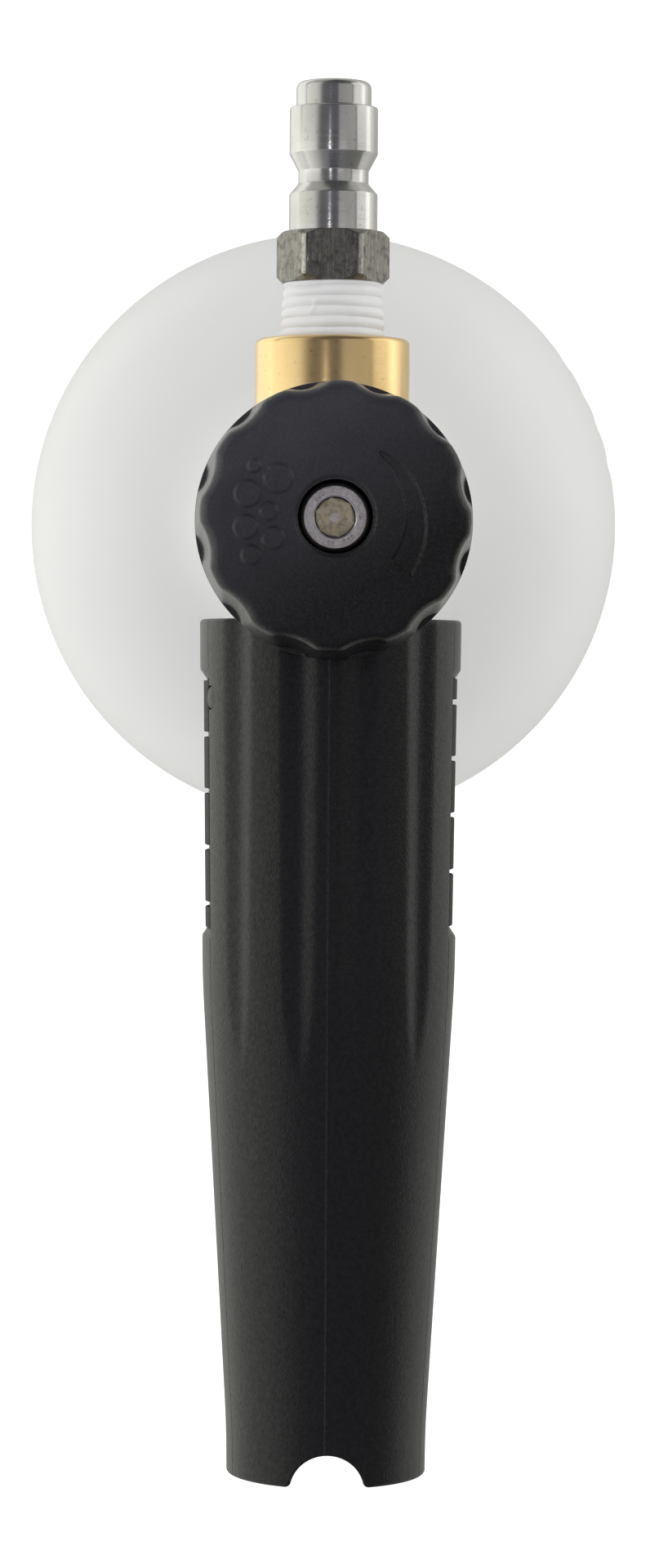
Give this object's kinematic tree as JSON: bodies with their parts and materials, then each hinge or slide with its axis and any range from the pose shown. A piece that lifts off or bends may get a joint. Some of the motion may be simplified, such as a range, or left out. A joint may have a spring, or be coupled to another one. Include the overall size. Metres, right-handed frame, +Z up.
{
  "type": "foam cannon",
  "caption": "Snow foam cannon for a pressure washer: bottle, brass body with quick-connect plug, dosing knob and an oval nozzle shroud that squeezes the fan lips.",
  "frame": {"origin": "centre of the bottle's round foot, on the surface that it stands on", "axes": "+Z up along the bottle's axis, +X along the spray axis towards the mouth, +Y to the left of the spray"},
  "size_m": [0.1868, 0.09, 0.2803],
  "materials": {
    "translucent_hdpe": "satin",
    "black_cap": "satin",
    "seal_rubber": "matte",
    "yellow_brass": "satin turned",
    "stainless": "turned",
    "white_tape": "matte",
    "clear_hose": "gloss",
    "grey_plastic": "satin",
    "wire_mesh": "matte",
    "shroud_plastic": "fine matte grain",
    "knob_plastic": "fine matte grain",
    "black_steel": "oxide black",
    "black_acetal": "smooth"
  },
  "bodies": {
    "bottle": {"bottle": "translucent_hdpe"},
    "gasket": {"cap_gasket": "seal_rubber"},
    "head": {"bottle_cap": "black_cap", "cap_nut": "yellow_brass", "suction_barb": "yellow_brass", "dip_tube": "clear_hose", "tube_strainer": "grey_plastic", "brass_body": "yellow_brass", "inlet_plug": "stainless", "thread_tape": "white_tape", "jet_nozzle": "stainless", "mixing_tube": "grey_plastic", "barrel_seal": "seal_rubber", "barrel": "yellow_brass", "foam_mesh": "wire_mesh", "mesh_ring": "stainless", "nozzle_tip": "yellow_brass", "gland_nut": "yellow_brass", "spindle_oring": "seal_rubber"},
    "knob": {"knob": "knob_plastic", "knob_screw": "stainless", "spindle": "stainless"},
    "needle": {"dosing_needle": "stainless"},
    "shroud": {"shroud": "shroud_plastic", "shroud_pin": "black_steel"},
    "carrier": {"lip_carrier": "black_acetal", "lip_pins": "stainless"},
    "lip_left": {"lip_left": "black_acetal"},
    "lip_right": {"lip_right": "black_acetal"}
  },
  "joints": [
    {"name": "head_lift", "type": "slide", "parent": "bottle", "child": "gasket", "axis": [0, 0, 1], "range_m": [0, 0.22]},
    {"name": "head_turn", "type": "hinge", "parent": "gasket", "child": "head", "pos_m": [0, 0, 0.215], "axis": [0, 0, 1], "range_deg": [0, 540]},
    {"name": "knob_turn", "type": "hinge", "parent": "head", "child": "knob", "pos_m": [0.0031, 0, 0.26092], "axis": [0, 0, 1], "range_deg": [0, 720]},
    {"name": "needle_travel", "type": "slide", "parent": "head", "child": "needle", "axis": [0, 0, 1], "range_m": [0, 0.0016]},
    {"name": "shroud_turn", "type": "hinge", "parent": "head", "child": "shroud", "pos_m": [0.03, 0, 0.24092], "axis": [1, 0, 0], "range_deg": [0, 90]},
    {"name": "carrier_slide", "type": "slide", "parent": "shroud", "child": "carrier", "axis": [1, 0, 0], "range_m": [0, 0.0025]},
    {"name": "lip_left_close", "type": "hinge", "parent": "carrier", "child": "lip_left", "pos_m": [0.09645, 0.0069, 0.24092], "axis": [0, 0, 1], "range_deg": [-4, 0]},
    {"name": "lip_right_close", "type": "hinge", "parent": "carrier", "child": "lip_right", "pos_m": [0.09645, -0.0069, 0.24092], "axis": [0, 0, 1], "range_deg": [0, 4]}
  ],
  "couplings": [
    {"joint": "needle_travel", "follows": "knob_turn", "m_per_rad": 0.00012732},
    {"joint": "carrier_slide", "follows": "shroud_turn", "m_per_rad": 0.0015915},
    {"joint": "lip_left_close", "follows": "shroud_turn", "ratio": -0.0444},
    {"joint": "lip_right_close", "follows": "shroud_turn", "ratio": 0.0444}
  ]
}
